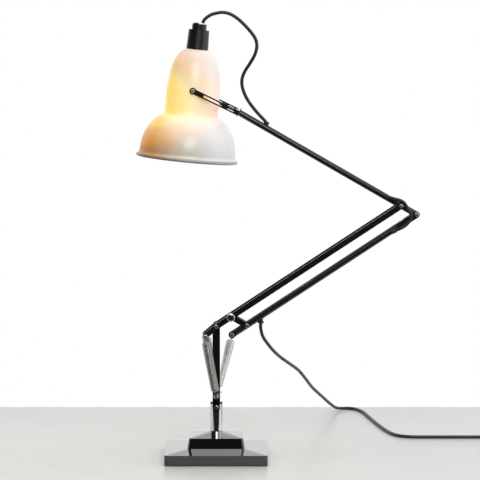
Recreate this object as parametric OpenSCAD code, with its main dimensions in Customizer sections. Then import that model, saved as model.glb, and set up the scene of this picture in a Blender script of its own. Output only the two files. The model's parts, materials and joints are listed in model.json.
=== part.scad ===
// Sprung architect desk lamp: square stepped base, swivel mast, double
// parallelogram arm held up by three springs, and a tilting bone china shade.
// The lamp's arm lies in the XZ plane. The base stands on Z = 0.

/* [Base] */
// Width of the square lower tier
base_w = 152; // [140:1:170]
// Height of each tier at its edge
tier_h = 15.6; // [14:0.2:18]
// Width of the upper tier at its foot
riser_w = 85; // [70:1:95]
// Width of the upper tier at its top edge
riser_top_w = 80; // [66:1:90]

/* [Mast] */
// Diameter of the chrome swivel barrel
barrel_d = 18.6; // [18.6:0.1:18.8]
// Height of the shoulder pivot above the table
shoulder_h = 198; // [190:1:230]
// Width of the mast's two side plates
mast_w = 11; // [10.5:0.1:12]

/* [Arms] */
// Shoulder pivot to elbow pivot
upper_len = 326; // [300:1:340]
// Distance between the two long members, along the links
link_len = 27; // [26:0.5:28]
// Elbow pivot to the head swivel
forearm_len = 274.7; // [260:0.1:290]
// Rise of the lower arm above horizontal
lower_rise = 33.3; // [32:0.1:34]
// Fall of the forearm from head to elbow
forearm_fall = 29.9; // [29:0.1:31]

/* [Head] */
// Head swivel to the shade's pivot
fork_len = 75.4; // [74:0.1:78]
// Fall of the fork from shade to swivel
fork_fall = 26; // [25:0.1:27]
// Lean of the shade, its top towards the arm
shade_lean = 5.5; // [0:0.5:8]
// Outer diameter of the shade's rolled rim
rim_d = 150.6; // [150:0.1:152]
// Outer diameter of the shade's neck
neck_d = 79.2; // [78.6:0.1:79.4]
// Wall thickness of the china
china_t = 3; // [2.4:0.1:3.2]

/* [Cords] */
// Diameter of the mains cord and of the head's cable
cord_d = 5; // [4.5:0.1:5.2]
// Diameter of the elbow's cable
elbow_cord_d = 4.8; // [4.4:0.1:4.8]

/* [Hidden] */

// Running fit between a pin and its bore, on the radius
fit = 0.05;
// Places along Y, measured out from the lamp's middle plane
link_y = [6, 8.5];
plate_y = [barrel_d / 2 + 0.2, barrel_d / 2 + 3.2];
bar_y = [13.3, 16.3];
spring_y = 25;
fork_y = [39.9, 41.9];

// Pivots, as [x, z]
function from(p, angle, d) = p + d * [cos(angle), sin(angle)];
forearm_dir = 180 - forearm_fall;
fork_dir = 180 - fork_fall;
shoulder = [0, shoulder_h];
knob = from(shoulder, lower_rise, 26);
elbow = from(shoulder, lower_rise, upper_len);
link_end = from(knob, -forearm_fall, link_len);
clevis = from(elbow, -forearm_fall, link_len);
spring_end = from(shoulder, -forearm_fall, link_len);
arm_hook = from(shoulder, 220.5, 21.2);
head_swivel = from(elbow, forearm_dir, forearm_len);
shade_pivot = from(head_swivel, fork_dir, fork_len);
stud_at = [0, 95];
cross_pin_at = [2.8, 97.5];
mast_screw_at = [0, 77];
mains_exit = from(link_end, lower_rise, 25);
head_cable_in = from(head_swivel, -forearm_fall, 46);

// Heights in the base and the barrel
felt_h = 1;
plate_peak = tier_h + 8.2;
riser_z = tier_h + 3;
riser_edge = riser_z + tier_h + 0.8;
riser_peak = riser_edge + 5.4;
barrel_z = riser_peak + 0.3;
barrel_top = 81.4;
spindle_r = 5;

// Tubes, bars and pins
lower_r = 5.2;
forearm_r = 4.75;
bar_w = 8.4;
pin_r = 2.5;
hook_r = 2;
stud_r = 1.6;
cross_r = 1.2;

// Heights along the shade's axis, counted from its rim
pivot_w = 103;
neck_w = 65;
top_w = 163;
cap_w = 192;
cap_top_w = 200.5;
bell_r = 71;
holder_r = 16.2;

// Routes of the cords, as hand-placed points
head_route = [
    [-19.4, 0, 645], [-17, 0, 650.5], [-8.5, 0, 657], [1, 0, 660], [11, 0, 661], [21, 0, 658.5], [31, 0, 652.5],
    [41, 0, 643.5], [51, 0, 632.5], [58, 0, 622], [60, 0, 611], [57, 0, 599], [50, 0, 586.5], [42, 0, 574],
    [38, 0, 562], [39, 0, 550], [44, 0, 537], [52, 0, 524.5], [61.5, 0, 513], [69, 0, 505], [73, 0, 500.5], [74.2, 0, 496.6],
];
elbow_route = [
    [252, -4, 389.5], [258, -7, 388.5], [264, -9.2, 387], [270, -9.2, 385.5], [276, -9.2, 382.5],
    [280, -9.2, 377.5], [283, -9.6, 372.5], [286, -10.2, 367.5], [287.5, -10.4, 362], [286.5, -10.4, 356.5],
    [283, -10.6, 351.5], [278, -10.6, 347], [272, -10.4, 343.5], [266.5, -9.4, 341],
];
mains_route = [
    [66, 0, 201], [66, 0, 194], [69, 10, 181], [76, 28, 168], [86, 52, 153], [98, 86, 138],
    [112, 126, 123], [126, 170, 107], [138, 220, 87], [150, 275, 65], [166, 332, 43], [183, 394, 20],
    [196, 441, 5.2], [206, 458, 2.6], [221, 441, 2.6], [234, 408, 2.6], [243, 372, 2.6], [254, 302, 2.6],
    [265, 234, 2.6], [277, 191, 2.6], [296, 171, 2.6], [331, 168, 2.6], [370, 168, 2.6], [409, 168, 2.6],
    [452, 168, 2.6],
];
coil_at = [456, 135.5];
coil_r = 27.5;
plug_at = [494, 88];

// ---------- helpers ----------

// A round bar along Y through p = [x, z]
module y_rod(p, r, y0, y1) {
    translate([p[0], y0, p[1]]) rotate([-90, 0, 0]) cylinder(r = r, h = y1 - y0, $fn = 48);
}

// The same bar on both sides of the middle plane
module y_rods(p, r, y0, y1) {
    y_rod(p, r, y0, y1);
    y_rod(p, r, -y1, -y0);
}

// A flat shape drawn in XZ, from y0 to y1
module slab(y0, y1) {
    translate([0, y1, 0]) rotate([90, 0, 0]) linear_extrude(y1 - y0) children();
}

// Outline of a strip with round ends, from p to q. The straight sides are drawn a hair narrower
// than the round ends, so that they cross the circles instead of only touching them.
module strip(p, q, w) {
    run = q - p;
    straight_w = w - 0.02;
    translate(p) circle(d = w, $fn = 48);
    translate(q) circle(d = w, $fn = 48);
    translate(p) rotate(atan2(run[1], run[0])) translate([0, -straight_w / 2]) square([norm(run), straight_w]);
}

// Puts its children at p with their Z axis along the angle in XZ
module aim(p, angle) {
    translate([p[0], 0, p[1]]) rotate([0, 90 - angle, 0]) children();
}

// A rivet or screw head that stands on the plane y, outwards
module head(p, y, r, h, side) {
    translate([p[0], side * y, p[1]]) rotate([-90 * side, 0, 0]) cylinder(r1 = r, r2 = r * 0.7, h = h, $fn = 48);
}

// A pin through the arm with a head at each end
module rivet(p, r, y, head_r) {
    y_rod(p, r, -y, y);
    for (side = [-1, 1]) head(p, y, head_r, 1.5, side);
}

// A square block with rounded corners and its top rising to a flat crown
module tier(foot_w, top_w, edge_h, peak, corner) {
    hull() {
        for (x = [-1, 1], y = [-1, 1]) {
            translate([x * (foot_w / 2 - corner), y * (foot_w / 2 - corner), 0])
                cylinder(r = corner, h = 0.2, $fn = 32);
            translate([x * (top_w / 2 - corner), y * (top_w / 2 - corner), 0])
                cylinder(r = corner, h = edge_h, $fn = 32);
        }
        cylinder(d = barrel_d + 3, h = peak, $fn = 32);
    }
}

// A closed-coil tension spring from the pin of radius p_r at p to the one of radius q_r at q,
// with a ring around each pin
module spring(p, p_r, q, q_r, y, d) {
    run = q - p;
    ring_r = 4.4;
    wire = 0.7;
    slack = 0.1;
    long = norm(run);
    first = ring_r - wire - slack - p_r;
    last = long - (ring_r - wire - slack - q_r);
    color("silver") translate([0, y, 0]) aim(p, atan2(run[1], run[0])) {
        for (z = [first, last])
            translate([0, 0, z]) rotate([90, 0, 0])
                rotate_extrude($fn = 48) translate([ring_r, 0]) circle(r = wire, $fn = 24);
        difference() {
            translate([0, 0, first + ring_r]) cylinder(d = d, h = last - first - 2 * ring_r, $fn = 48);
            cylinder(d = d - 2.4, h = long, $fn = 48);
        }
        for (z = [first + ring_r + 0.6, last - ring_r - 0.6])
            translate([-d / 2 + 0.6, 0, z]) rotate([0, 90, 0]) cylinder(r = 0.6, h = d - 1.2, $fn = 24);
    }
}

// The shade's own frame: origin on the rim, Z up its axis
module shade_frame() {
    translate([shade_pivot[0], 0, shade_pivot[1]]) rotate([0, shade_lean, 0])
        translate([0, 0, -pivot_w]) children();
}

// Smooth path through the route's points, with steps new points in each stretch
function bend(a, b, c, d, t) =
    0.5 * (2 * b + (c - a) * t + (2 * a - 5 * b + 4 * c - d) * t * t + (3 * b - a - 3 * c + d) * t * t * t);
function smooth(r, steps) = [
    for (i = [0:len(r) - 2], s = [0:steps - 1])
        bend(r[max(i - 1, 0)], r[i], r[i + 1], r[min(i + 2, len(r) - 1)], s / steps),
    r[len(r) - 1],
];
function unit(v) = v / norm(v);
function side_of(dir, last) = unit(last - dir * (last * dir));
function sides(path, dirs, i, last) =
    i == len(path) ? [] : let (now = side_of(dirs[i], last)) concat([now], sides(path, dirs, i + 1, now));

// A cord swept along the path, as one closed polyhedron
module cord(path, d, n) {
    count = len(path);
    dirs = [for (i = [0:count - 1]) unit(path[min(i + 1, count - 1)] - path[max(i - 1, 0)])];
    across = sides(path, dirs, 0, [0.1, 1, 0.2]);
    points = [
        for (i = [0:count - 1], k = [0:n - 1])
            path[i] + d / 2 * (cos(360 * k / n) * across[i] + sin(360 * k / n) * cross(dirs[i], across[i])),
    ];
    walls = [
        for (i = [0:count - 2], k = [0:n - 1])
            let (a = i * n + k, b = i * n + (k + 1) % n)
                each [[a, a + n, b], [b, a + n, b + n]],
    ];
    first_end = [for (k = [0:n - 1]) k];
    last_end = [for (k = [n - 1:-1:0]) (count - 1) * n + k];
    polyhedron(points, concat(walls, [first_end, last_end]), convexity = 10);
}

// ---------- base ----------

module base_felt() {
    color("dimgray") translate([-base_w / 2 + 3, -base_w / 2 + 3, 0]) cube([base_w - 6, base_w - 6, felt_h]);
}

module lower_tier() {
    translate([0, 0, felt_h]) tier(base_w, base_w, tier_h - felt_h, plate_peak - felt_h, 5);
}

module base_plate() {
    color("black") difference() {
        lower_tier();
        // recess for the nut, and the spindle's hole
        cylinder(r = 12, h = 8, $fn = 48);
        cylinder(r = 4, h = 60, $fn = 48);
    }
}

module base_riser() {
    color("black") difference() {
        translate([0, 0, riser_z]) tier(riser_w, riser_top_w, riser_edge - riser_z, riser_peak - riser_z, 5);
        // the foot follows the lower tier's slopes
        lower_tier();
        // hollow around the ballast
        cylinder(r = 34, h = riser_z + 13, $fn = 64);
        cylinder(r = spindle_r, h = 60, $fn = 48);
    }
}

module ballast() {
    color("gray") difference() {
        translate([0, 0, plate_peak]) cylinder(r = 32, h = riser_z + 13 - plate_peak - 0.2, $fn = 64);
        cylinder(r = spindle_r, h = 60, $fn = 48);
    }
}

module spindle() {
    shoulder_z = plate_peak;
    color("silver") {
        translate([0, 0, 3]) cylinder(r = 4, h = shoulder_z - 3, $fn = 48);
        translate([0, 0, shoulder_z]) cylinder(r = spindle_r, h = barrel_top - 12.5 - shoulder_z, $fn = 48);
    }
}

module spindle_washer() {
    color("silver") translate([0, 0, 6.8]) difference() {
        cylinder(r = 9, h = 1.2, $fn = 48);
        translate([0, 0, -1]) cylinder(r = 4, h = 4, $fn = 48);
    }
}

module spindle_nut() {
    color("silver") translate([0, 0, 1.8]) difference() {
        cylinder(r = 7.5, h = 5, $fn = 6);
        translate([0, 0, -1]) cylinder(r = 4, h = 8, $fn = 48);
    }
}

// ---------- mast ----------

module swivel_barrel() {
    color("silver") difference() {
        translate([0, 0, barrel_z]) cylinder(d = barrel_d, h = barrel_top - barrel_z, $fn = 64);
        translate([0, 0, barrel_z - 1]) cylinder(r = spindle_r + fit, h = barrel_top - 11 - barrel_z, $fn = 48);
        y_rod(mast_screw_at, pin_r, -20, 20);
    }
}

module barrel_cap() {
    color("black") translate([0, 0, barrel_top]) cylinder(d = barrel_d, h = 2, $fn = 64);
}

module mast_plate(y0, y1) {
    color("black") difference() {
        slab(y0, y1) strip([0, mast_screw_at[1] - 1], shoulder, mast_w);
        y_rod(shoulder, pin_r + fit, y0 - 1, y1 + 1);
        y_rod(mast_screw_at, pin_r, y0 - 1, y1 + 1);
        y_rod(stud_at, stud_r, y0 - 1, y1 + 1);
        y_rod(cross_pin_at, cross_r, y0 - 1, y1 + 1);
    }
}

module mast_plate_near() {
    mast_plate(-plate_y[1], -plate_y[0]);
}

module mast_plate_far() {
    mast_plate(plate_y[0], plate_y[1]);
}

module mast_screw() {
    color("silver") {
        y_rod(mast_screw_at, pin_r, -plate_y[1], plate_y[1] + 3);
        head(mast_screw_at, plate_y[1], 3.6, 1.8, -1);
    }
}

module mast_nut() {
    color("silver") difference() {
        translate([0, plate_y[1], mast_screw_at[1]]) rotate([-90, 0, 0]) cylinder(r = 4.4, h = 2.6, $fn = 6);
        y_rod(mast_screw_at, pin_r, 0, 30);
    }
}

module spring_studs() {
    color("silver") for (side = [-1, 1]) {
        y0 = side < 0 ? -spring_y - 2.2 : plate_y[0] + 0.4;
        y1 = side < 0 ? -plate_y[0] - 0.4 : spring_y + 2.2;
        y_rod(stud_at, stud_r, y0, y1);
        head(stud_at, spring_y + 2.2, 3.2, 1.4, side);
    }
}

module spring_cross_pin() {
    color("silver") y_rod(cross_pin_at, cross_r, -plate_y[1], plate_y[1]);
}

module arm_spring_near() {
    spring(arm_hook, hook_r, stud_at, stud_r, -spring_y, 14);
}

module arm_spring_far() {
    spring(arm_hook, hook_r, stud_at, stud_r, spring_y, 14);
}

module forearm_spring() {
    spring(spring_end, pin_r, cross_pin_at, cross_r, 0, 13);
}

// ---------- lower arm ----------

module arm_bar(y0, y1) {
    color("black") difference() {
        slab(y0, y1) union() {
            strip(arm_hook, shoulder, bar_w);
            strip(shoulder, elbow, bar_w);
        }
        y_rod(arm_hook, hook_r, y0 - 1, y1 + 1);
        for (p = [shoulder, knob, elbow]) y_rod(p, pin_r, y0 - 1, y1 + 1);
    }
}

module arm_bar_near() {
    arm_bar(-bar_y[1], -bar_y[0]);
}

module arm_bar_far() {
    arm_bar(bar_y[0], bar_y[1]);
}

module shoulder_pin() {
    color("silver") rivet(shoulder, pin_r, bar_y[1], 3.4);
}

module arm_spring_pins() {
    color("black") for (side = [-1, 1]) {
        y0 = side < 0 ? -spring_y - 2.2 : bar_y[0];
        y1 = side < 0 ? -bar_y[0] : spring_y + 2.2;
        y_rod(arm_hook, hook_r, y0, y1);
        head(arm_hook, spring_y + 2.2, 3.4, 1.4, side);
    }
}

module knob_pin() {
    color("silver") {
        y_rod(knob, pin_r, -bar_y[1] - 5, bar_y[1]);
        head(knob, bar_y[1], 3.4, 1.5, 1);
    }
}

module tension_knob() {
    color("silver") difference() {
        y_rod(knob, 6, -bar_y[1] - 7, -bar_y[1] - 0.6);
        y_rod(knob, 4.2, -bar_y[1] - 8, -bar_y[1] - 5.2);
        y_rod(knob, pin_r + fit, -bar_y[1] - 6, 0);
    }
}

module knob_cap() {
    color("black") y_rod(knob, 4.1, -bar_y[1] - 7.6, -bar_y[1] - 5.4);
}

module elbow_pin() {
    color("silver") rivet(elbow, pin_r, bar_y[1], 3.2);
}

module pivot_spacers() {
    color("black") difference() {
        union() {
            y_rods(shoulder, 4.2, plate_y[1] + 0.1, bar_y[0]);
            y_rods(knob, 3.6, link_y[1] + 0.1, bar_y[0]);
            y_rods(elbow, 3.5, 5.4, bar_y[0]);
        }
        for (p = [shoulder, knob, elbow]) y_rod(p, pin_r, -20, 20);
    }
}

// ---------- link and lower tube ----------

module link(y0, y1) {
    color("black") difference() {
        slab(y0, y1) strip(knob, link_end, bar_w);
        y_rod(knob, pin_r + fit, y0 - 1, y1 + 1);
        y_rod(link_end, pin_r, y0 - 1, y1 + 1);
    }
}

module link_near() {
    link(-link_y[1], -link_y[0]);
}

module link_far() {
    link(link_y[0], link_y[1]);
}

module link_pin() {
    color("silver") rivet(link_end, pin_r, link_y[1], 3.4);
}

module lower_tube() {
    reach = from(clevis, lower_rise, -24);
    tube_len = norm(reach - spring_end);
    color("black") difference() {
        union() {
            aim(spring_end, lower_rise) cylinder(r = lower_r, h = tube_len, $fn = 48);
            y_rod(spring_end, lower_r, -lower_r, lower_r);
        }
        aim(from(spring_end, lower_rise, 32), lower_rise) cylinder(r = 3.8, h = tube_len, $fn = 48);
        // mouth for the spring's ring
        aim(spring_end, lower_rise) translate([-6, -1.6, -6]) cube([12, 3.2, 15]);
        y_rod(spring_end, pin_r + fit, -8, 8);
        y_rod(link_end, pin_r + fit, -8, 8);
        // mains cord hole in the underside
        translate([mains_exit[0], 0, mains_exit[1] - 12]) cylinder(r = 3.4, h = 12, $fn = 32);
    }
}

// Cheeks that straddle the forearm's end; the linkage is opened here, so the holes are wide
module tube_clevis() {
    tube_end = from(clevis, lower_rise, -24);
    color("black") difference() {
        union() {
            for (side = [[-7.4, -5.2], [5.2, 7.4]])
                slab(side[0], side[1]) strip(from(clevis, lower_rise, -29), clevis, 9.4);
            aim(from(tube_end, lower_rise, -14), lower_rise) cylinder(r = 3.8, h = 15, $fn = 48);
            aim(tube_end, lower_rise) translate([-4.7, -7.4, 0]) cube([9.4, 14.8, 2.6]);
        }
        y_rod(clevis, pin_r + 0.3, -12, 12);
    }
}

module spring_end_pin() {
    color("silver") {
        y_rod(spring_end, pin_r, -lower_r - 0.5, lower_r + 0.5);
        for (side = [-1, 1]) head(spring_end, lower_r + 0.4, 3.1, 1.2, side);
    }
}

module mains_grommet() {
    color("black") translate([mains_exit[0], 0, mains_exit[1] - 11]) difference() {
        union() {
            cylinder(r = 4.4, h = 3, $fn = 48);
            cylinder(r = 3.3, h = 7, $fn = 48);
        }
        translate([0, 0, -1]) cylinder(d = cord_d + 0.2, h = 3.6, $fn = 32);
    }
}

// ---------- forearm ----------

module forearm_tube() {
    whole = forearm_len + link_len;
    color("black") difference() {
        union() {
            aim(clevis, forearm_dir) cylinder(r = forearm_r, h = whole, $fn = 48);
            y_rod(clevis, 4.9, -5, 5);
            y_rod(elbow, 5.3, -5.2, 5.2);
        }
        aim(from(elbow, forearm_dir, 12), forearm_dir) cylinder(r = 3.6, h = whole, $fn = 48);
        y_rod(clevis, pin_r, -8, 8);
        y_rod(elbow, pin_r + fit, -8, 8);
        translate([head_cable_in[0], 0, head_cable_in[1]]) cylinder(r = 3.2, h = 12, $fn = 32);
    }
}

module clevis_pin() {
    color("silver") rivet(clevis, pin_r, 7.7, 3.4);
}

module forearm_plug() {
    color("black") aim(head_swivel, -forearm_fall) difference() {
        cylinder(r = 3.6, h = 20, $fn = 48);
        translate([0, 0, -1]) cylinder(r = pin_r + fit, h = 18, $fn = 48);
    }
}

module head_cable_grommet() {
    color("black") translate([head_cable_in[0], 0, head_cable_in[1] + 2]) difference() {
        union() {
            cylinder(r = 3.1, h = 6, $fn = 48);
            translate([0, 0, 3.9]) cylinder(r = 4, h = 3, $fn = 48);
        }
        translate([0, 0, 3]) cylinder(d = cord_d + 0.4, h = 6, $fn = 32);
    }
}

module cable_ferrule() {
    at = elbow_route[len(elbow_route) - 1];
    color("black") translate([0, at[1], 0]) aim([at[0], at[2]], 180 + lower_rise - 10)
        translate([0, 0, 0.7]) cylinder(r = 3.1, h = 8, $fn = 48);
}

// ---------- fork ----------

module fork_strap() {
    foot = from(shade_pivot, fork_dir, -(fork_len - 2));
    color("black") difference() {
        union() {
            for (side = [-1, 1]) {
                y0 = side < 0 ? -fork_y[1] : fork_y[0];
                y1 = side < 0 ? -fork_y[0] : fork_y[1];
                slab(y0, y1) union() {
                    translate(shade_pivot) circle(d = 10, $fn = 48);
                    translate(shade_pivot) rotate(fork_dir) translate([-(fork_len - 2), -3.75])
                        square([fork_len - 2, 7.5]);
                }
            }
            aim(foot, fork_dir) translate([-3.75, -fork_y[1], 0]) cube([7.5, 2 * fork_y[1], 2]);
        }
        y_rod(shade_pivot, 2 + fit, -60, 60);
        for (slot = [[17, 47], [56, 67]])
            slab(-60, 60) strip(from(shade_pivot, fork_dir, -slot[0] - 1.6),
                                from(shade_pivot, fork_dir, -slot[1] + 1.6), 3.2);
        aim(head_swivel, forearm_dir) cylinder(r = pin_r, h = 12, $fn = 48);
    }
}

module swivel_screw() {
    color("silver") aim(head_swivel, forearm_dir) {
        translate([0, 0, -15]) cylinder(r = pin_r, h = 19.6, $fn = 48);
        translate([0, 0, 4.6]) cylinder(r1 = 4.2, r2 = 3.4, h = 2, $fn = 48);
    }
}

module swivel_washer() {
    color("dimgray") aim(head_swivel, forearm_dir) difference() {
        translate([0, 0, 0.2]) cylinder(r = 7, h = 1.1, $fn = 48);
        translate([0, 0, -1]) cylinder(r = pin_r, h = 4, $fn = 48);
    }
}

// ---------- shade and lampholder ----------

// Half outline of the shade, as [radius, height above the rim], pulled in by t
function bell(t, last) = [
    for (a = [0:5.875:last]) [26 + (bell_r - 26 - t) * cos(a), 8 + (60.5 - t) * sin(a)],
];
function neck(t) = [
    for (h = [0.05:0.1:1]) let (w = 78 + 85 * sin(90 * h))
        [(neck_d / 2 - t) * pow(1 - pow((w - 78) / 88, 2.8), 1 / 2.8), w - t * sin(90 * h)],
];

module china_shade() {
    outer = concat([[bell_r, 4.4]], bell(0, 70.5), [[neck_d / 2 - 0.4, neck_w + 2], [neck_d / 2, 74]], neck(0));
    inner = concat([[bell_r - china_t, 4.4]], bell(china_t, 66),
                   [[neck_d / 2 - china_t - 0.4, neck_w + 2], [neck_d / 2 - china_t, 74]], neck(china_t));
    color("linen") shade_frame() difference() {
        union() {
            rotate_extrude($fn = 96) polygon(concat([[0, 4.4]], outer, [[0, top_w]]));
            rotate_extrude($fn = 96) translate([rim_d / 2 - 2.2, 2.2]) circle(r = 2.2, $fn = 32);
            translate([0, 0, 0.6]) cylinder(r = rim_d / 2 - 2.2, h = 4, $fn = 96);
        }
        rotate_extrude($fn = 96) polygon(concat([[0, 4.4]], inner, [[0, top_w - china_t]]));
        translate([0, 0, -1]) cylinder(r = bell_r - china_t, h = 5.5, $fn = 96);
        translate([0, 0, top_w - 10]) cylinder(r = 15.2, h = 20, $fn = 48);
        translate([0, -60, pivot_w]) rotate([-90, 0, 0]) cylinder(r = 2.6, h = 120, $fn = 32);
    }
}

module shade_screws() {
    color("silver") for (side = [-1, 1]) {
        y_rod(shade_pivot, 2, side < 0 ? -fork_y[1] - 0.3 : 32, side < 0 ? -32 : fork_y[1] + 0.3);
        head(shade_pivot, fork_y[1] + 0.3, 3.3, 1.5, side);
    }
}

module shade_nuts() {
    color("silver") difference() {
        for (side = [-1, 1])
            translate([shade_pivot[0], side * 34, shade_pivot[1]]) rotate([90, 0, 0])
                cylinder(r = 4, h = 2.4, center = true, $fn = 6);
        y_rod(shade_pivot, 2, -50, 50);
    }
}

module shade_washers() {
    color("dimgray") difference() {
        y_rods(shade_pivot, 4.2, neck_d / 2 - 0.2, fork_y[0] - 0.1);
        y_rod(shade_pivot, 2, -50, 50);
    }
}

module shade_ring() {
    color("black") shade_frame() translate([0, 0, top_w - china_t - 8]) difference() {
        cylinder(r = 19, h = 4.4, $fn = 64);
        translate([0, 0, -1]) cylinder(r = 15, h = 8, $fn = 48);
    }
}

module lampholder() {
    color("black") shade_frame() difference() {
        union() {
            translate([0, 0, top_w]) cylinder(r1 = holder_r, r2 = holder_r - 1.1, h = cap_w - top_w, $fn = 64);
            translate([0, 0, 140]) cylinder(r = 15, h = top_w - 140, $fn = 64);
        }
        translate([0, 0, 139]) cylinder(r = 13.8, h = 27, $fn = 48);
    }
}

module lampholder_cap() {
    color("black") shade_frame() difference() {
        translate([0, 0, cap_w]) cylinder(r = 10.65, h = cap_top_w - cap_w, $fn = 64);
        translate([-4.7, 0, cap_top_w - 5]) cylinder(r = 3.6 + fit, h = 8, $fn = 48);
        translate([4.6, 0, cap_top_w - 3]) cylinder(d = cord_d + 0.4, h = 8, $fn = 48);
    }
}

module socket_shell() {
    color("goldenrod") shade_frame() difference() {
        translate([0, 0, 142]) cylinder(r = 13.7, h = 24, $fn = 48);
        translate([0, 0, 141]) cylinder(r = 13.2, h = 23, $fn = 48);
    }
}

module bulb_base() {
    color("silver") shade_frame() difference() {
        union() {
            translate([0, 0, 141]) cylinder(r = 13.1, h = 19, $fn = 48);
            translate([0, 0, 160]) cylinder(r1 = 8, r2 = 4.5, h = 3.6, $fn = 48);
        }
        translate([0, 0, 140]) cylinder(r = 12.3, h = 19, $fn = 48);
    }
}

module bulb_glass() {
    globe_r = 28;
    globe_w = 93;
    wall = 0.8;
    globe = [for (a = [-80:10:50]) [cos(a), sin(a)]];
    outer = [for (p = globe) [globe_r * p[0], globe_w + globe_r * p[1]]];
    inner = [for (p = globe) [(globe_r - wall) * p[0], globe_w + (globe_r - wall) * p[1]]];
    color("lightyellow") shade_frame() difference() {
        rotate_extrude($fn = 64)
            polygon(concat([[0, globe_w - globe_r]], outer, [[13, 125], [12.6, 140.9], [0, 140.9]]));
        rotate_extrude($fn = 64)
            polygon(concat([[0, globe_w - globe_r + wall]], inner, [[12.2, 125], [11.8, 142], [0, 142]]));
    }
}

module switch_button() {
    color("black") shade_frame() translate([-4.7, 0, cap_top_w - 3.2]) cylinder(r = 3.6, h = 4.7, $fn = 48);
}

// ---------- cords ----------

module head_cable() {
    color("#222222") cord(head_route, cord_d, 8);
}

module elbow_cable() {
    color("#222222") cord(elbow_route, elbow_cord_d, 8);
}

module mains_cord() {
    color("#222222") cord(smooth(mains_route, 2), cord_d, 8);
}

module cord_coil() {
    color("#222222") translate([coil_at[0], coil_at[1], 0]) rotate_extrude($fn = 96)
        translate([coil_r - 8, 0.1]) square([16, 10.4]);
}

module coil_tie() {
    color("dimgray") translate([coil_at[0], coil_at[1] - coil_r, 0.1]) difference() {
        translate([-5, -9.9, 0]) cube([10, 19.8, 12]);
        translate([-6, -8.7, -1]) cube([12, 17.4, 11.6]);
    }
}

module plug_body() {
    color("#222222") translate([plug_at[0], plug_at[1], 0]) {
        translate([-13, -14, 0]) cube([26, 30, 34]);
        translate([0, 15, 11]) rotate([-90, 0, 0]) cylinder(r1 = 7, r2 = 4, h = 11, $fn = 48);
    }
}

module plug_pins() {
    color("goldenrod") translate([plug_at[0], plug_at[1] - 14, 0]) {
        translate([-2, -22, 23]) cube([4, 22, 7]);
        for (x = [-11, 7]) translate([x, -18, 6]) cube([4, 18, 6]);
    }
}

base_felt();
base_plate();
base_riser();
ballast();
spindle();
spindle_washer();
spindle_nut();
swivel_barrel();
barrel_cap();
mast_plate_near();
mast_plate_far();
mast_screw();
mast_nut();
spring_studs();
spring_cross_pin();
arm_spring_near();
arm_spring_far();
forearm_spring();
arm_bar_near();
arm_bar_far();
shoulder_pin();
arm_spring_pins();
knob_pin();
tension_knob();
knob_cap();
elbow_pin();
pivot_spacers();
link_near();
link_far();
link_pin();
lower_tube();
tube_clevis();
spring_end_pin();
forearm_tube();
clevis_pin();
forearm_plug();
head_cable_grommet();
cable_ferrule();
mains_grommet();
fork_strap();
swivel_screw();
swivel_washer();
china_shade();
shade_screws();
shade_nuts();
shade_washers();
shade_ring();
lampholder();
lampholder_cap();
socket_shell();
bulb_base();
bulb_glass();
switch_button();
head_cable();
elbow_cable();
mains_cord();
cord_coil();
coil_tie();
plug_body();
plug_pins();
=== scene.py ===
"""Balanced-arm desk lamp with a lit china shade: looks, springs and cords around the CAD frame."""

import json
import math

import bmesh
import bpy
from mathutils import Matrix, Vector


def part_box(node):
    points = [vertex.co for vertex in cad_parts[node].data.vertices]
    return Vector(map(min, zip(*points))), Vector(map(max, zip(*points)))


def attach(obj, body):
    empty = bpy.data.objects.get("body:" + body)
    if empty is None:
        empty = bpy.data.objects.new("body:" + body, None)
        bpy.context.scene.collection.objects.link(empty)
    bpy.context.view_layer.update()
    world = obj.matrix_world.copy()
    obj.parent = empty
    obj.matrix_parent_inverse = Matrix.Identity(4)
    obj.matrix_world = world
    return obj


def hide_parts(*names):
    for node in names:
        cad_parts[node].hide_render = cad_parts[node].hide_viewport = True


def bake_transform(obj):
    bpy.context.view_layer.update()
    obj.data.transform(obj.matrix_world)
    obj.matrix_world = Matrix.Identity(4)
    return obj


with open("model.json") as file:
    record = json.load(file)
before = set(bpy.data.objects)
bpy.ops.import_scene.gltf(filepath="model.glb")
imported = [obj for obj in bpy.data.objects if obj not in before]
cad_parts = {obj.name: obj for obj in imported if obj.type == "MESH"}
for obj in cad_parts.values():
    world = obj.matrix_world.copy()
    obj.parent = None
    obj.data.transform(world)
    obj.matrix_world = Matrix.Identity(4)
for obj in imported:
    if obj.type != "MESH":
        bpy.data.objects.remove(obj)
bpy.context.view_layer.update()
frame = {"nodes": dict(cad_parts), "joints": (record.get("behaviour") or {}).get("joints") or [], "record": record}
nodes = frame["nodes"]
joints = {joint["name"]: joint for joint in frame["joints"]}


# ---------- camera ----------

CAMERA_AT = (0.0352, -3.7834, 0.6689)
CAMERA_PITCH_DOWN = math.radians(5.186)
FOCAL_LENGTH_MM = 192.54


def make_camera():
    """A long lens, a little to the right of the mast and slightly above the shade."""
    lens = bpy.data.cameras.new("camera")
    lens.sensor_width = 36.0
    lens.lens = FOCAL_LENGTH_MM
    lens.clip_end = 50.0
    camera = bpy.data.objects.new("camera", lens)
    bpy.context.collection.objects.link(camera)
    camera.location = CAMERA_AT
    camera.rotation_euler = (math.pi / 2 - CAMERA_PITCH_DOWN, 0.0, 0.0)
    bpy.context.scene.camera = camera


make_camera()


# ---------- geometry helpers ----------

# Turns a piece that is made along +Z to face -Y.
TOWARD_MINUS_Y = Matrix(((1, 0, 0), (0, 0, -1), (0, 1, 0))).to_4x4()
SAME_POINT = 0.000001


def metres(points):
    return [Vector(p) / 1000 for p in points]


def node_centre(node):
    low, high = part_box(node)
    return (low + high) / 2


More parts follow.
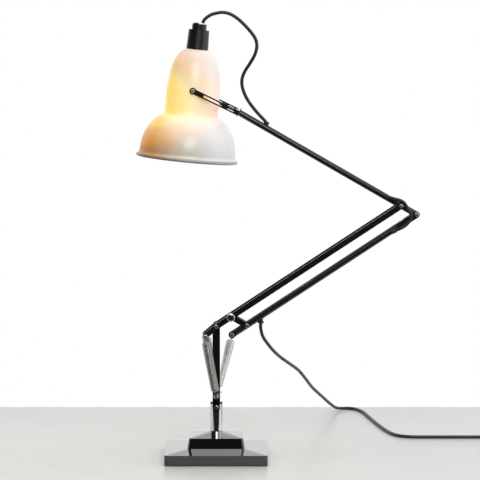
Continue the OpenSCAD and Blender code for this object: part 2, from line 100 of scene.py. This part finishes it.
def new_mesh(name, points, faces, smooth=True):
    mesh = bpy.data.meshes.new(name)
    mesh.from_pydata([tuple(p) for p in points], [], faces)
    mesh.validate()
    mesh.update()
    if smooth:
        mesh.shade_smooth()
    piece = bpy.data.objects.new(name, mesh)
    bpy.context.collection.objects.link(piece)
    return piece


def bend(a, b, c, d, t):
    """Catmull-Rom point between b and c, the curve that the CAD cords follow."""
    return 0.5 * (2 * b + (c - a) * t + (2 * a - 5 * b + 4 * c - d) * t**2 + (3 * b - a - 3 * c + d) * t**3)


def smooth_path(points, steps):
    """A curve through points, with the stretch between each two of them cut into steps."""
    last = len(points) - 1
    path = []
    for i in range(last):
        before, after = points[max(i - 1, 0)], points[min(i + 2, last)]
        path += [bend(before, points[i], points[i + 1], after, s / steps) for s in range(steps)]
    return path + [points[last]]


def bezier(a, b, c, d, t):
    u = 1 - t
    return u**3 * a + 3 * u * u * t * b + 3 * u * t * t * c + t**3 * d


def path_length(path):
    return sum((b - a).length for a, b in zip(path, path[1:]))


def sweep(name, path, radius, sides):
    """A tube along path, closed at both ends."""
    last = len(path) - 1
    points, faces = [], []
    # Any direction that no path starts along.
    across = Vector((0.1, 1.0, 0.2))
    for i, centre in enumerate(path):
        along = (path[min(i + 1, last)] - path[max(i - 1, 0)]).normalized()
        across = (across - along * across.dot(along)).normalized()
        other = along.cross(across)
        for k in range(sides):
            turn = 2 * math.pi * k / sides
            points.append(centre + radius * (math.cos(turn) * across + math.sin(turn) * other))
    for i in range(last):
        for k in range(sides):
            a, b = i * sides + k, i * sides + (k + 1) % sides
            faces.append((a, b, b + sides, a + sides))
    faces.append(tuple(reversed(range(sides))))
    faces.append(tuple(last * sides + k for k in range(sides)))
    return new_mesh(name, points, faces)


def arc(centre, reach, start, end, steps):
    """Points of a lathe's profile round an ellipse, from the angle start to end, in degrees."""
    points = []
    for i in range(steps + 1):
        angle = math.radians(start + (end - start) * i / steps)
        points.append((centre[0] + reach[0] * math.cos(angle), centre[1] + reach[1] * math.sin(angle)))
    return points


def lathe(name, profile, sides, place):
    """A solid of revolution. profile holds (radius, height) points round the whole section."""
    points, faces = [], []
    count = len(profile)
    for k in range(sides):
        turn = 2 * math.pi * k / sides
        for radius, height in profile:
            points.append(place @ Vector((radius * math.cos(turn), radius * math.sin(turn), height)))
    for k in range(sides):
        here, there = k * count, (k + 1) % sides * count
        for i in range(count):
            j = (i + 1) % count
            faces.append((here + i, there + i, there + j, here + j))
    return new_mesh(name, points, faces)


def rounded_block(name, low, high, radius):
    """A box with every edge rounded. Each side is a grid whose cells grow smaller towards its edges."""
    steps = 16
    half, middle = (high - low) / 2, (low + high) / 2
    inner = half - Vector((radius, radius, radius))
    shares = [math.sin(math.pi * (i / steps - 0.5)) for i in range(steps + 1)]
    points, faces = [], []
    for axis in range(3):
        for sign in (-1, 1):
            first = len(points)
            for u in shares:
                for v in shares:
                    place = Vector()
                    place[axis], place[(axis + 1) % 3], place[(axis + 2) % 3] = sign, u, v
                    place = place * half
                    core = Vector([max(-inner[k], min(inner[k], place[k])) for k in range(3)])
                    points.append(middle + core + radius * (place - core).normalized())
            for i in range(steps):
                for j in range(steps):
                    a = first + i * (steps + 1) + j
                    face = (a, a + steps + 1, a + steps + 2, a + 1)
                    faces.append(face if sign > 0 else face[::-1])
    piece = new_mesh(name, points, faces)
    shape = bmesh.new()
    shape.from_mesh(piece.data)
    bmesh.ops.remove_doubles(shape, verts=shape.verts, dist=SAME_POINT)
    shape.to_mesh(piece.data)
    shape.free()
    return piece


# ---------- materials ----------

MATERIALS = {}

# How far the shading rounds a sharp edge.
EDGE_RADIUS = 0.0004

# A noise texture lies mostly between these two values.
NOISE_LOW, NOISE_HIGH = 0.3, 0.7


class Shader:
    """One material with a Principled surface, kept in MATERIALS. The helpers add the nodes that vary it."""

    def __init__(self, name):
        self.material = bpy.data.materials.new(name)
        MATERIALS[name] = self.material
        self.material.use_nodes = True
        self.tree = self.material.node_tree
        self.tree.nodes.clear()
        self.surface = self.add("ShaderNodeBsdfPrincipled")
        output = self.add("ShaderNodeOutputMaterial")
        self.join(self.surface.outputs["BSDF"], output.inputs["Surface"])
        self.place = self.add("ShaderNodeTexCoord").outputs["Object"]
        edge = self.add("ShaderNodeBevel", samples=4)
        edge.inputs["Radius"].default_value = EDGE_RADIUS
        self.rounded = edge.outputs["Normal"]

    def add(self, kind, **settings):
        node = self.tree.nodes.new(kind)
        for key, value in settings.items():
            setattr(node, key, value)
        return node

    def join(self, source, target):
        self.tree.links.new(source, target)

    def set(self, **values):
        """Constant values, by the socket's name with underscores."""
        for key, value in values.items():
            self.surface.inputs[key.replace("_", " ")].default_value = value

    def noise(self, scale, detail=3.0, stretch=(1.0, 1.0, 1.0)):
        mapping = self.add("ShaderNodeMapping")
        mapping.inputs["Scale"].default_value = stretch
        self.join(self.place, mapping.inputs["Vector"])
        node = self.add("ShaderNodeTexNoise")
        node.inputs["Scale"].default_value = scale
        node.inputs["Detail"].default_value = detail
        self.join(mapping.outputs["Vector"], node.inputs["Vector"])
        return node.outputs["Fac"]

    def between(self, factor, low, high, start=NOISE_LOW, end=NOISE_HIGH):
        """A value that goes from low to high while factor goes from start to end."""
        node = self.add("ShaderNodeMapRange")
        for key, value in (("From Min", start), ("From Max", end), ("To Min", low), ("To Max", high)):
            node.inputs[key].default_value = value
        self.join(factor, node.inputs["Value"])
        return node.outputs["Result"]

    def ramp(self, value, stops):
        """The colour for value. stops holds (value, colour) pairs from the lowest to the highest."""
        low, high = stops[0][0], stops[-1][0]
        node = self.add("ShaderNodeValToRGB")
        elements = node.color_ramp.elements
        elements[0].color = (*stops[0][1], 1.0)
        elements[1].color = (*stops[-1][1], 1.0)
        for at, color in stops[1:-1]:
            elements.new((at - low) / (high - low)).color = (*color, 1.0)
        self.join(self.between(value, 0.0, 1.0, low, high), node.inputs["Fac"])
        return node.outputs["Color"]

    def scaled(self, color, factor):
        node = self.add("ShaderNodeVectorMath", operation="SCALE")
        self.join(color, node.inputs[0])
        self.join(factor, node.inputs["Scale"])
        return node.outputs["Vector"]

    def plus(self, value, other, share):
        """value, with a share of other added to it."""
        node = self.add("ShaderNodeMath", operation="MULTIPLY_ADD")
        self.join(other, node.inputs[0])
        node.inputs[1].default_value = share
        self.join(value, node.inputs[2])
        return node.outputs["Value"]

    def along(self, axis, origin):
        """Distance from origin along axis, in the object's own coordinates."""
        dot = self.add("ShaderNodeVectorMath", operation="DOT_PRODUCT")
        self.join(self.place, dot.inputs[0])
        dot.inputs[1].default_value = axis
        node = self.add("ShaderNodeMath", operation="SUBTRACT")
        self.join(dot.outputs["Value"], node.inputs[0])
        node.inputs[1].default_value = Vector(axis).dot(origin)
        return node.outputs["Value"]

    def vary_color(self, factor, low, high):
        node = self.add("ShaderNodeValToRGB")
        elements = node.color_ramp.elements
        elements[0].position, elements[1].position = NOISE_LOW, NOISE_HIGH
        elements[0].color, elements[1].color = (*low, 1.0), (*high, 1.0)
        self.join(factor, node.inputs["Fac"])
        self.join(node.outputs["Color"], self.surface.inputs["Base Color"])

    def vary_roughness(self, factor, low, high):
        self.join(self.between(factor, low, high), self.surface.inputs["Roughness"])

    def bump(self, factor, depth, strength=0.5):
        """Relief from factor, on top of the softened edges."""
        node = self.add("ShaderNodeBump")
        node.inputs["Strength"].default_value = strength
        node.inputs["Distance"].default_value = depth
        self.join(factor, node.inputs["Height"])
        self.join(self.rounded, node.inputs["Normal"])
        self.join(node.outputs["Normal"], self.surface.inputs["Normal"])


def shade_of(color, factor):
    return tuple(min(1.0, c * factor) for c in color)


def coated(name, color, roughness, grain, depth, coat=0.0, spread=0.06):
    """Paint, plastic or rubber: a fine skin texture, and a roughness and tone that drift over it."""
    shader = Shader(name)
    shader.vary_color(shader.noise(35.0), shade_of(color, 0.75), shade_of(color, 1.3))
    shader.vary_roughness(shader.noise(110.0, detail=6.0), roughness - spread / 2, roughness + spread)
    shader.bump(shader.noise(grain, detail=2.0), depth)
    shader.set(Coat_Weight=coat, Coat_Roughness=0.04)


def metal(name, color, roughness, grain, depth, stretch=(1.0, 1.0, 1.0)):
    """Bare or plated metal with faint drawn lines along one axis."""
    shader = Shader(name)
    shader.vary_color(shader.noise(60.0), shade_of(color, 0.86), shade_of(color, 1.06))
    lines = shader.noise(grain, detail=4.0, stretch=stretch)
    shader.vary_roughness(lines, roughness * 0.7, roughness * 1.5)
    shader.bump(lines, depth, strength=0.3)
    shader.set(Metallic=1.0)


def felt():
    shader = Shader("felt")
    fibres = shader.noise(1400.0, detail=8.0)
    shader.vary_color(fibres, (0.012, 0.012, 0.013), (0.05, 0.05, 0.052))
    shader.bump(fibres, depth=0.0004, strength=0.9)
    shader.set(Roughness=0.95, Sheen_Weight=0.4)


coated(
    "gloss_black", (0.006, 0.006, 0.0065), roughness=0.07, grain=1500.0, depth=0.00001, coat=1.0, spread=0.03
)
coated("arm_black", (0.009, 0.009, 0.0095), roughness=0.22, grain=2200.0, depth=0.00003, coat=0.35)
felt()
metal("iron", (0.16, 0.15, 0.15), roughness=0.55, grain=900.0, depth=0.0002)
metal("chrome", (0.80, 0.80, 0.81), roughness=0.06, grain=500.0, depth=0.000004, stretch=(1.0, 1.0, 0.08))
metal("spring_steel", (0.55, 0.54, 0.51), roughness=0.2, grain=1800.0, depth=0.00001)
metal("steel", (0.60, 0.60, 0.61), roughness=0.24, grain=1500.0, depth=0.00001, stretch=(1.0, 0.1, 1.0))
coated("black_plastic", (0.010, 0.0105, 0.011), roughness=0.34, grain=1800.0, depth=0.00004)
coated("nylon", (0.06, 0.06, 0.06), roughness=0.5, grain=1500.0, depth=0.00004)
coated("rubber", (0.014, 0.014, 0.014), roughness=0.62, grain=2600.0, depth=0.00006)
coated("cable", (0.012, 0.012, 0.0125), roughness=0.42, grain=1700.0, depth=0.00005)
coated("tie", (0.02, 0.02, 0.021), roughness=0.85, grain=2500.0, depth=0.0003)
coated("plug_plastic", (0.014, 0.014, 0.0145), roughness=0.45, grain=2600.0, depth=0.00008)
metal("brass", (0.78, 0.57, 0.25), roughness=0.2, grain=1400.0, depth=0.00001)
metal("cap_metal", (0.75, 0.75, 0.76), roughness=0.25, grain=1200.0, depth=0.00001)


# ---------- the lit shade's materials ----------

# The shade's tilt pivot stands this far above its rim, along its axis.
PIVOT_HEIGHT = 0.103


def shade_place():
    """The shade's own frame: origin on the rim, Z up its axis, leaning by the angle the switch slides at."""
    up = -Vector(joints["switch_press"]["axis"]).normalized()
    side = Vector((0.0, 1.0, 0.0))
    pivot = Vector(joints["shade_tilt"]["pos_m"])
    rotation = Matrix((side.cross(up), side, up)).transposed().to_4x4()
    return Matrix.Translation(pivot - PIVOT_HEIGHT * up) @ rotation


SHADE_PLACE = shade_place()

# The painted glow's brightest place, set off to one side in the shade's own frame, and its colours by the
# distance from there: emission that paints the bulb's light shining through the china.
PAINTED_GLOW_CENTRE = (-0.032, -0.012, 0.082)
PAINTED_GLOW = [
    (0.0, (0.80, 0.46, 0.0)),
    (0.026, (0.76, 0.44, 0.01)),
    (0.041, (0.54, 0.42, 0.08)),
    (0.053, (0.40, 0.23, 0.03)),
    (0.068, (0.42, 0.14, 0.0)),
    (0.082, (0.13, 0.05, 0.01)),
    (0.1, (0.02, 0.01, 0.0)),
    (0.12, (0.0, 0.0, 0.0)),
]

# Painted side shade: the china's colour by the distance to the right of its axis, orange and darker on the
# left, where less studio light falls, and white on the right.
CHINA_PAINTED_SIDE_SHADE = [
    (-0.08, (0.55, 0.18, 0.02)),
    (-0.05, (0.64, 0.33, 0.10)),
    (-0.02, (0.78, 0.71, 0.58)),
    (0.03, (0.80, 0.805, 0.80)),
]

# Heights over which the rim's darker band ends, and over which the bell's weaker painted glow grows to the neck's.
RIM_EDGE = (0.0042, 0.0062)
RIM_DARK = 0.45
CREASE = (0.06, 0.068)
BELL_PAINTED_GLOW = 0.85


def china():
    """Bone china with a lamp inside.

    Painted glow: emission paints the bulb's light shining through the wall, yellow round a spot set off
    to one side and falling off to orange. Painted side shade: the base colour is orange and darker on that
    side, where less studio light falls. The rolled rim is darker.
    """
    shader = Shader("china")
    mottle = shader.between(shader.noise(28.0, detail=6.0), -1.0, 1.0)
    shader.vary_roughness(shader.noise(60.0), 0.30, 0.44)
    shader.bump(shader.noise(160.0, detail=3.0), depth=0.0002, strength=0.25)
    away = shader.add("ShaderNodeVectorMath", operation="DISTANCE")
    away.inputs[1].default_value = SHADE_PLACE @ Vector(PAINTED_GLOW_CENTRE)
    shader.join(shader.place, away.inputs[0])
    side = shader.along(SHADE_PLACE.col[0].xyz, SHADE_PLACE.translation)
    height = shader.along(SHADE_PLACE.col[2].xyz, SHADE_PLACE.translation)
    # Painted glow: emission that paints the bulb's light through the wall, brightest at a spot set off to one
    # side.
    painted_glow = shader.ramp(shader.plus(away.outputs["Value"], mottle, share=0.003), PAINTED_GLOW)
    painted_glow = shader.scaled(painted_glow, shader.between(height, BELL_PAINTED_GLOW, 1.0, *CREASE))
    # Painted side shade: the base colour is orange and darker on the side where less studio light falls.
    body = shader.ramp(shader.plus(side, mottle, share=0.006), CHINA_PAINTED_SIDE_SHADE)
    # The rolled rim is darker.
    body = shader.scaled(body, shader.between(height, RIM_DARK, 1.0, *RIM_EDGE))
    shader.join(painted_glow, shader.surface.inputs["Emission Color"])
    shader.join(body, shader.surface.inputs["Base Color"])
    shader.set(Emission_Strength=1.0, Subsurface_Weight=0.1, Subsurface_Scale=0.002)
    shader.set(Coat_Weight=0.25, Coat_Roughness=0.2)


def bulb():
    shader = Shader("bulb")
    shader.vary_color(shader.noise(80.0), (0.95, 0.88, 0.75), (1.0, 0.94, 0.84))
    shader.set(Roughness=0.5, Emission_Strength=6.0, Emission_Color=(1.0, 0.72, 0.38, 1.0))


china()
bulb()


# ---------- pieces ----------


def finish_piece(piece, slot, body, replaced=()):
    """Material, body and the CAD nodes that the piece stands for."""
    piece.data.materials.clear()
    piece.data.materials.append(MATERIALS[slot])
    if body:
        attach(piece, body)
    if replaced:
        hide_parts(*replaced)
    return piece


def paint_cad_nodes():
    for part in frame["record"]["subparts"]:
        node = nodes[part["node"]]
        node.data.materials.clear()
        node.data.materials.append(MATERIALS[part["material_slot"]])


paint_cad_nodes()


# ---------- cords ----------

CORD_D = 0.005
ELBOW_CORD_D = 0.0048
CORD_SIDES = 12

# Where the mains cord reaches the table.
LANDING_MM = (194, 431, 7.5)

# The lengths of cord, from its outlet, where the link's, the arm's and the mast's pieces begin.
MAINS_CUTS = [0.046, 0.116, 0.212]
MAINS_ROUTE_MM = [
    (66, 0, 201), (66, 0, 194), (69, 10, 181), (76, 28, 168), (86, 52, 153), (98, 86, 138),
    (112, 126, 123), (126, 170, 107), (138, 220, 87), (150, 275, 65), (166, 332, 43), (183, 394, 20),
    LANDING_MM, (203, 448.5, 3.6), (215, 455, 2.6), (227, 447, 2.6), (236, 424, 2.6), (241, 398, 2.6),
    (246, 360, 2.6), (254, 302, 2.6), (265, 234, 2.6), (277, 191, 2.6), (296, 171, 2.6), (331, 168, 2.6),
    (370, 168, 2.6), (409, 168, 2.6), (452, 168, 2.6),
]

# The head cable's upper piece is this share of its length.
HEAD_CABLE_SPLIT = 0.8
HEAD_ROUTE_MM = [
    (-19.4, 0, 645), (-17, 0, 650.5), (-8.5, 0, 657), (1, 0, 660), (11, 0, 661), (21, 0, 658.5),
    (31, 0, 652.5), (41, 0, 643.5), (51, 0, 632.5), (58, 0, 622), (60, 0, 611), (57, 0, 599),
    (50, 0, 586.5), (42, 0, 574), (38, 0, 562), (39, 0, 550), (44, 0, 537), (52, 0, 524.5),
    (61.5, 0, 513), (69, 0, 505), (73, 0, 500.5), (74.2, 0, 496.6),
]
ELBOW_ROUTE_MM = [
    (252, -4, 389.5), (258, -7, 388.5), (264, -9.2, 387), (270, -9.2, 385.5), (276, -9.2, 382.5),
    (280, -9.2, 377.5), (283, -9.6, 372.5), (286, -10.2, 367.5), (287.5, -10.4, 362), (286.5, -10.4, 356.5),
    (283, -10.6, 351.5), (278, -10.6, 347), (272, -10.4, 343.5), (266.5, -9.4, 341),
]

# The coil's rings as (radius, height) on the table, and the share of a turn over which one becomes the next.
COIL_CENTRE_MM = (456, 135.5, 0)
COIL_RINGS = [(0.0325, 0.0026), (0.0275, 0.0026), (0.0225, 0.0026), (0.0250, 0.0071), (0.0300, 0.0071)]
COIL_SHIFT = 0.3

# The end of the plug's strain relief, and the plane where the relief meets the plug's block.
PLUG_TIP_MM = (494, 114, 11)
PLUG_BACK = 0.104


def coil_path():
    """Three flat turns inwards on the table, a fourth on top of them, and a wide bend to the plug."""
    centre, tip = metres([COIL_CENTRE_MM, PLUG_TIP_MM])
    turns, steps, exit_steps = len(COIL_RINGS) - 1, 36, 16
    path = []
    for i in range(turns * steps + 1):
        turn = i / steps
        ring = min(int(turn), turns - 1)
        eased = max(0.0, (turn - ring - (1 - COIL_SHIFT)) / COIL_SHIFT)
        eased = eased * eased * (3 - 2 * eased)
        (radius, height), (next_radius, next_height) = COIL_RINGS[ring], COIL_RINGS[ring + 1]
        radius += (next_radius - radius) * eased
        height += (next_height - height) * eased
        angle = math.pi / 2 - 2 * math.pi * turn
        path.append(centre + Vector((radius * math.cos(angle), radius * math.sin(angle), height)))
    inside_relief, roundness = 0.002, 0.55
    start, end = path[-1], tip - Vector((0.0, inside_relief, 0.0))
    leaving = start + Vector((roundness * (end.x - start.x), 0.0, 0.0))
    arriving = end + Vector((0.0, roundness * (start.y - end.y), 0.0))
    return path + [bezier(start, leaving, arriving, end, i / exit_steps) for i in range(1, exit_steps + 1)]


def plug():
    """The moulded plug: a rounded block, and a ribbed tapering relief where the cord goes in."""
    low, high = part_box("plug_body")
    block = rounded_block("plug_block", low, Vector((high.x, PLUG_BACK, high.z)), radius=0.0035)
    finish_piece(block, "plug_plastic", "base", ["plug_body"])
    tip = Vector(PLUG_TIP_MM) / 1000
    length = tip.y - PLUG_BACK
    tip_r, growth, ribs, rib_depth, steps = 0.0040, 0.0022, 4, 0.0005, 30
    profile = []
    for i in range(steps + 1):
        share = i / steps
        rib = rib_depth * math.cos(2 * math.pi * ribs * share)
        profile.append((tip_r + growth * share + rib, -length * (1 - share)))
    profile += [(CORD_D / 2, 0.0), (CORD_D / 2, -length)]
    place = Matrix.Translation((tip.x, PLUG_BACK, tip.z)) @ TOWARD_MINUS_Y
    relief = lathe("plug_relief", profile, 32, place)
    finish_piece(relief, "plug_plastic", "base")
    return [block, relief]


def split_at(path, lengths):
    """Cuts the path where its running length passes each of lengths. The cut points are in both parts."""
    parts, part, run = [], [path[0]], 0.0
    waiting = list(lengths)
    for a, b in zip(path, path[1:]):
        run += (b - a).length
        part.append(b)
        if waiting and run >= waiting[0]:
            parts.append(part)
            part = [b]
            waiting.pop(0)
    return parts + [part]


def cord_piece(name, path, diameter, body=None, replaced=()):
    """One length of cord: its tube, with the cable's material and body."""
    piece = sweep(name, path, diameter / 2, CORD_SIDES)
    finish_piece(piece, "cable", body, replaced)
    return piece


def mains_cord(plug_pieces):
    """One cord in five pieces: four from the outlet down to the table, and one on the table with its coil."""
    steps = 6
    whole = smooth_path(metres(MAINS_ROUTE_MM), steps)
    landing = MAINS_ROUTE_MM.index(LANDING_MM) * steps
    parts = split_at(whole[: landing + 1], MAINS_CUTS)
    spans = [
        ("mains_cord_outlet", "lower_tube", "link"),
        ("mains_cord_link", "link", "lower_arm"),
        ("mains_cord_arm", "lower_arm", "mast"),
        ("mains_cord_drop", "mast", "base"),
    ]
    for part, (name, near, far) in zip(parts, spans):
        piece = cord_piece(name, part, CORD_D)
        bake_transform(piece)
    table_path = whole[landing:] + coil_path()
    cord_piece("mains_cord_table", table_path, CORD_D, "base", ["mains_cord", "cord_coil"])


def head_cable():
    path = smooth_path(metres(HEAD_ROUTE_MM), 3)
    upper, lower = split_at(path, [path_length(path) * HEAD_CABLE_SPLIT])
    piece = cord_piece("head_cable_upper", upper, CORD_D)
    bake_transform(piece)
    piece = cord_piece("head_cable_lower", lower, CORD_D, replaced=["head_cable"])
    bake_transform(piece)


def elbow_cable():
    """The elbow cable: one tube along its route."""
    path = smooth_path(metres(ELBOW_ROUTE_MM), 3)
    piece = cord_piece("elbow_cable_run", path, ELBOW_CORD_D, replaced=["elbow_cable"])
    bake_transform(piece)


mains_cord(plug())
head_cable()
elbow_cable()


# ---------- springs ----------

# A hook's radius to the middle of its wire, and the radius left free inside it for a pin.
HOOK_R = 0.0044
HOOK_CLEAR_R = 0.0036
SPRING_SIDES = 6

# The outer springs stand this far to either side of the middle.
ARM_SPRING_OFFSET = 0.025
ARM_SPRING = {
    "top_pin_r": 0.002, "foot_pin_r": 0.0016, "coil_r": 0.007, "wire_r": 0.0005,
    "turns": 56, "cone_turns": 3.0, "narrow": 0.15,
}
FOREARM_SPRING = {
    "top_pin_r": 0.0025, "foot_pin_r": 0.0012, "coil_r": 0.0065, "wire_r": 0.0004,
    "turns": 46, "cone_turns": 3.5, "narrow": 0.45,
}

# The middle spring's upper piece ends this far down from the upper pin.
FOREARM_SPRING_CUT = 0.048


def spring_path(top, foot, top_pin_r, foot_pin_r, coil_r, wire_r, turns, cone_turns, narrow):
    """Hook, cone, closed coils, cone, hook: one wire from the pin at top to the pin at foot.

    coil_r is the coils' outer radius. They are slimmer towards the foot, by the share narrow at its end.
    """
    length = (foot - top).length
    along = (foot - top) / length
    y_axis = Vector((0.0, 1.0, 0.0))
    across = y_axis.cross(along)
    first = HOOK_CLEAR_R - top_pin_r
    last = length - (HOOK_CLEAR_R - foot_pin_r)
    body_start, body_end = first + HOOK_R, last - HOOK_R
    hook_steps, steps_per_turn, wide_share = 20, 16, 0.2
    hook_start, hook_sweep = 75, 285

    def hook_point(centre, degrees):
        angle = math.radians(degrees)
        return top + along * (centre + HOOK_R * math.cos(angle)) + across * HOOK_R * math.sin(angle)

    path = [hook_point(first, hook_start + hook_sweep * i / hook_steps) for i in range(hook_steps)]
    for i in range(turns * steps_per_turn + 1):
        share = i / (turns * steps_per_turn)
        turn = share * turns
        cone = math.sin(min(1.0, min(turn, turns - turn) / cone_turns) * math.pi / 2)
        slim = 1.0 - narrow * max(0.0, share - wide_share) / (1 - wide_share)
        radius = (coil_r - wire_r) * slim * cone
        angle = 2 * math.pi * turn
        centre = top + along * (body_start + (body_end - body_start) * share)
        path.append(centre + radius * (math.cos(angle) * across + math.sin(angle) * y_axis))
    return path + [hook_point(last, 180 - hook_sweep * i / hook_steps) for i in range(1, hook_steps + 1)]


def spring_piece(name, path, wire_r, replaced=()):
    return finish_piece(sweep(name, path, wire_r, SPRING_SIDES), "spring_steel", None, replaced)


def arm_springs():
    """The two outer springs, from the arm's tail down to the mast's studs."""
    for node, side in (("arm_spring_near", -1), ("arm_spring_far", 1)):
        hook, stud = node_centre("arm_spring_pins"), node_centre("spring_studs")
        hook.y = stud.y = side * ARM_SPRING_OFFSET
        path = spring_path(hook, stud, **ARM_SPRING)
        piece = spring_piece(f"{node}_coil", path, ARM_SPRING["wire_r"], [node])
        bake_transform(piece)


def forearm_spring():
    """The middle spring, from the lower tube's end to the mast's cross pin: two pieces of one coil."""
    top, foot = node_centre("spring_end_pin"), node_centre("spring_cross_pin")
    down = (foot - top).normalized()
    path = spring_path(top, foot, **FOREARM_SPRING)
    cut = next(i for i, p in enumerate(path) if (p - top).dot(down) > FOREARM_SPRING_CUT)
    upper = spring_piece("forearm_spring_upper", path[: cut + 1], FOREARM_SPRING["wire_r"])
    lower = spring_piece("forearm_spring_lower", path[cut:], FOREARM_SPRING["wire_r"], ["forearm_spring"])
    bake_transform(upper)
    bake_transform(lower)


arm_springs()
forearm_spring()


# ---------- shade ----------


def shade_profile():
    """The china's section: up the rolled rim, bell, crease, neck and dome, and back down inside."""
    wall, roll_r, rim_r, bell_r, neck_r, top_hole_r = 0.003, 0.0022, 0.0753, 0.071, 0.0396, 0.0152
    bell_foot, bell_rise, crease, neck_start = 0.008, 0.0605, 0.065, 0.074
    bell_arc_r = 0.026
    outer = arc((rim_r - roll_r, roll_r), (roll_r, roll_r), -90, 90, steps=12)
    outer += arc((bell_arc_r, bell_foot), (bell_r - bell_arc_r, bell_rise), 0, 70.5, steps=28)
    outer += [(neck_r + 0.0006, crease + 0.0007), (neck_r - 0.0002, crease + 0.0016), (neck_r, neck_start)]
    inner = [(bell_r - wall, 0.0)]
    inner += arc((bell_arc_r, bell_foot), (bell_r - wall - bell_arc_r, bell_rise - wall), 0, 67, steps=28)
    inner += [(neck_r - wall, crease + 0.002), (neck_r - wall, neck_start)]
    dome_foot, dome_rise, dome_top, power, steps = 0.078, 0.088, 0.163, 2.8, 40
    for i in range(1, steps + 1):
        rise = math.sin(math.radians(88.5 * i / steps))
        height = dome_foot + (dome_top - dome_foot) * rise
        width = (1 - ((height - dome_foot) / dome_rise) ** power) ** (1 / power)
        outer.append((neck_r * width, height))
        inner.append(((neck_r - wall) * width, height - wall * rise))
    outer.append((top_hole_r, dome_top))
    inner.append((top_hole_r, dome_top - wall))
    return outer + inner[::-1]


def china_shade():
    piece = lathe("shade_china", shade_profile(), 160, SHADE_PLACE)
    finish_piece(piece, "china", "shade", ["china_shade"])


china_shade()


# ---------- tension knob ----------


def tension_knob():
    """A disc that faces -Y, with a rounded front edge and a cup for its cap."""
    low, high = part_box("tension_knob")
    back, front = -high.y, -low.y
    outer_r, cup_r, bore_r, bevel, cup_depth = 0.006, 0.0042, 0.0026, 0.0006, 0.0018
    corner = outer_r - cup_r
    profile = [(bore_r, back), (outer_r - bevel, back), (outer_r, back + bevel)]
    profile += arc((cup_r, front - corner), (corner, corner), 0, 90, steps=12)
    profile += [(cup_r, front - cup_depth), (bore_r, front - cup_depth)]
    centre = node_centre("tension_knob")
    centre.y = 0.0
    piece = lathe("tension_knob_ring", profile, 48, Matrix.Translation(centre) @ TOWARD_MINUS_Y)
    finish_piece(piece, "chrome", "lower_arm", ["tension_knob"])


tension_knob()


# ---------- light and set ----------


def make_table():
    """A pale slab with its top at the lamp's foot, and its front edge in the camera's view."""
    shader = Shader("table")
    shader.vary_color(shader.noise(3.0), (0.58, 0.58, 0.57), (0.62, 0.62, 0.61))
    shader.vary_roughness(shader.noise(20.0), 0.30, 0.36)
    left, right, front, back, thickness = -0.75, 0.95, -0.2, 0.484, 0.03
    top = [(left, front, 0), (right, front, 0), (right, back, 0), (left, back, 0)]
    under = [(x, y, -thickness) for x, y, _ in top]
    faces = [(0, 1, 2, 3), (7, 6, 5, 4), (0, 4, 5, 1), (1, 5, 6, 2), (2, 6, 7, 3), (3, 7, 4, 0)]
    table = new_mesh("table", top + under, faces, smooth=False)
    table.data.materials.append(MATERIALS["table"])


def make_world():
    """A studio that is bright behind the lamp, at its right and above, and dark on the -Y side.

    The camera itself sees plain white all round.
    """
    bright_side = (0.75, 1.0, 0.8)
    world = bpy.data.worlds.new("studio")
    bpy.context.scene.world = world
    world.use_nodes = True
    new, join = world.node_tree.nodes.new, world.node_tree.links.new
    world.node_tree.nodes.clear()
    coordinates = new("ShaderNodeTexCoord")
    toward = new("ShaderNodeVectorMath")
    toward.operation = "DOT_PRODUCT"
    toward.inputs[1].default_value = bright_side
    ramp = new("ShaderNodeMapRange")
    ramp.interpolation_type = "SMOOTHSTEP"
    for key, value in (("From Min", -0.35), ("From Max", 0.35), ("To Min", 0.015), ("To Max", 1.0)):
        ramp.inputs[key].default_value = value
    seen = new("ShaderNodeLightPath")
    either = new("ShaderNodeMath")
    either.operation = "MAXIMUM"
    light = new("ShaderNodeBackground")
    light.inputs["Color"].default_value = (1.0, 1.0, 1.0, 1.0)
    output = new("ShaderNodeOutputWorld")
    join(coordinates.outputs["Generated"], toward.inputs[0])
    join(toward.outputs["Value"], ramp.inputs["Value"])
    join(ramp.outputs["Result"], either.inputs[0])
    join(seen.outputs["Is Camera Ray"], either.inputs[1])
    join(either.outputs["Value"], light.inputs["Strength"])
    join(light.outputs["Background"], output.inputs["Surface"])


def area_light(name, place, target, size, power):
    """A soft light aimed at target. size is (width, height) in metres, and power is in watts."""
    data = bpy.data.lights.new(name, "AREA")
    data.shape = "RECTANGLE"
    data.size, data.size_y = size
    data.energy = power
    light = bpy.data.objects.new(name, data)
    bpy.context.collection.objects.link(light)
    light.location = place
    light.rotation_euler = (Vector(target) - Vector(place)).to_track_quat("-Z", "Y").to_euler()


def bulb_light():
    """The lamp's own light, inside the bulb, whose glass lets it out. It moves with the shade."""
    data = bpy.data.lights.new("filament", "POINT")
    data.energy = 0.15
    data.color = (1.0, 0.72, 0.4)
    data.shadow_soft_size = 0.02
    light = bpy.data.objects.new("filament", data)
    bpy.context.collection.objects.link(light)
    height_in_shade = 0.093
    light.location = SHADE_PLACE @ Vector((0.0, 0.0, height_in_shade))
    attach(light, "shade")
    nodes["bulb_glass"].visible_shadow = False


make_table()
make_world()
area_light("overhead", (0.2, -0.4, 2.4), target=(0.1, 0.0, 0.3), size=(1.2, 1.2), power=6.0)
area_light("key", (0.3, -2.9, 1.9), target=(0.0, 0.0, 0.45), size=(1.5, 1.5), power=46.0)
area_light("window", (2.3, -0.35, 0.9), target=(0.0, 0.0, 0.4), size=(1.4, 1.6), power=5.0)
area_light("left_card", (-1.9, 0.2, 0.3), target=(0.0, 0.0, 0.3), size=(1.7, 0.6), power=2.2)
bulb_light()
bpy.context.scene.view_settings.view_transform = "Standard"
